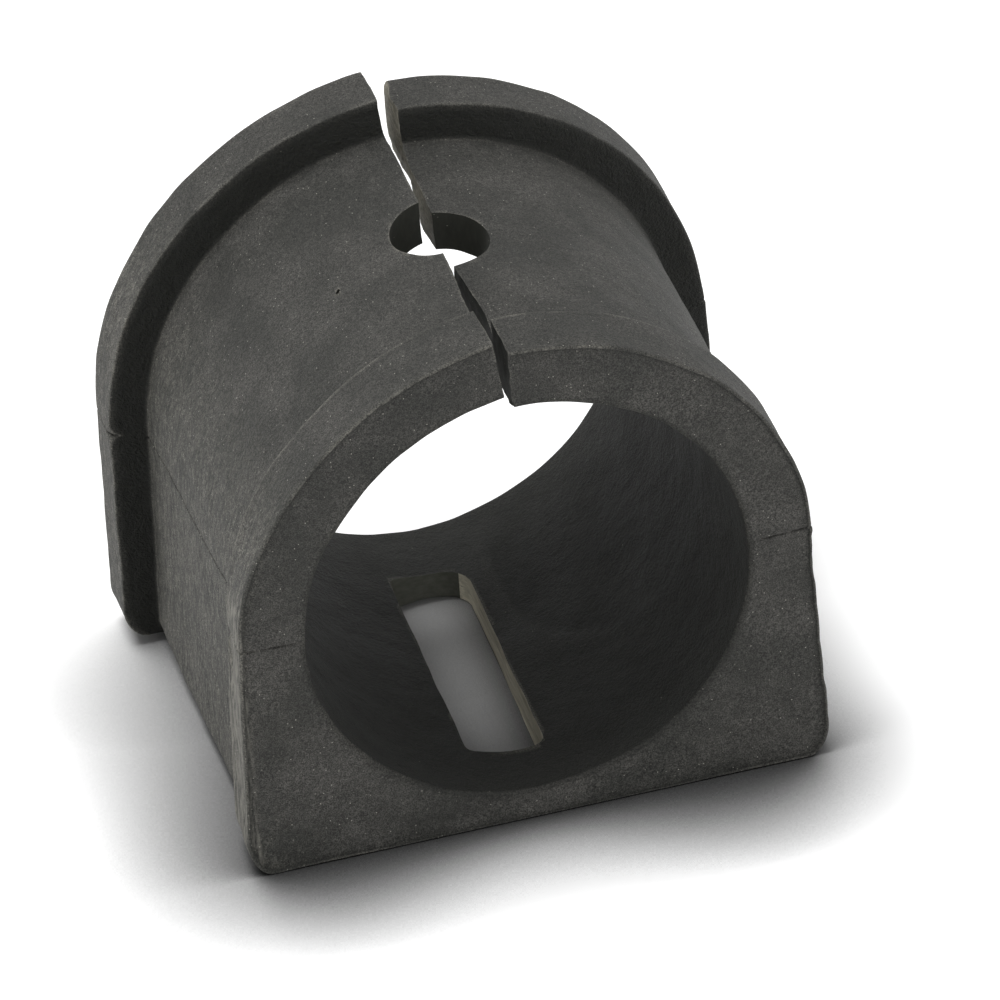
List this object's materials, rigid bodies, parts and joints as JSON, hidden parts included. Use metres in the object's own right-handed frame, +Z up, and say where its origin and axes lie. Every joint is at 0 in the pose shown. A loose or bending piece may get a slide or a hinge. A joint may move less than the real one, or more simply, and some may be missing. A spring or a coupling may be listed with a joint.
{
  "type": "steering column bushing",
  "caption": "Moulded rubber bush, D-shaped between end flanges, with a round bore, a slit crown crossed by a locating hole, and a slot in its floor.",
  "frame": {"origin": "middle of the flat foot, halfway along the bush", "axes": "+Y along the bore towards the larger flange, +Z up from the foot to the slit crown, +X across"},
  "size_m": [0.0622, 0.0476, 0.0576],
  "materials": {
    "moulded_rubber": "matte, as moulded"
  },
  "bodies": {
    "root": {"split_bush": "moulded_rubber"}
  },
  "joints": []
}
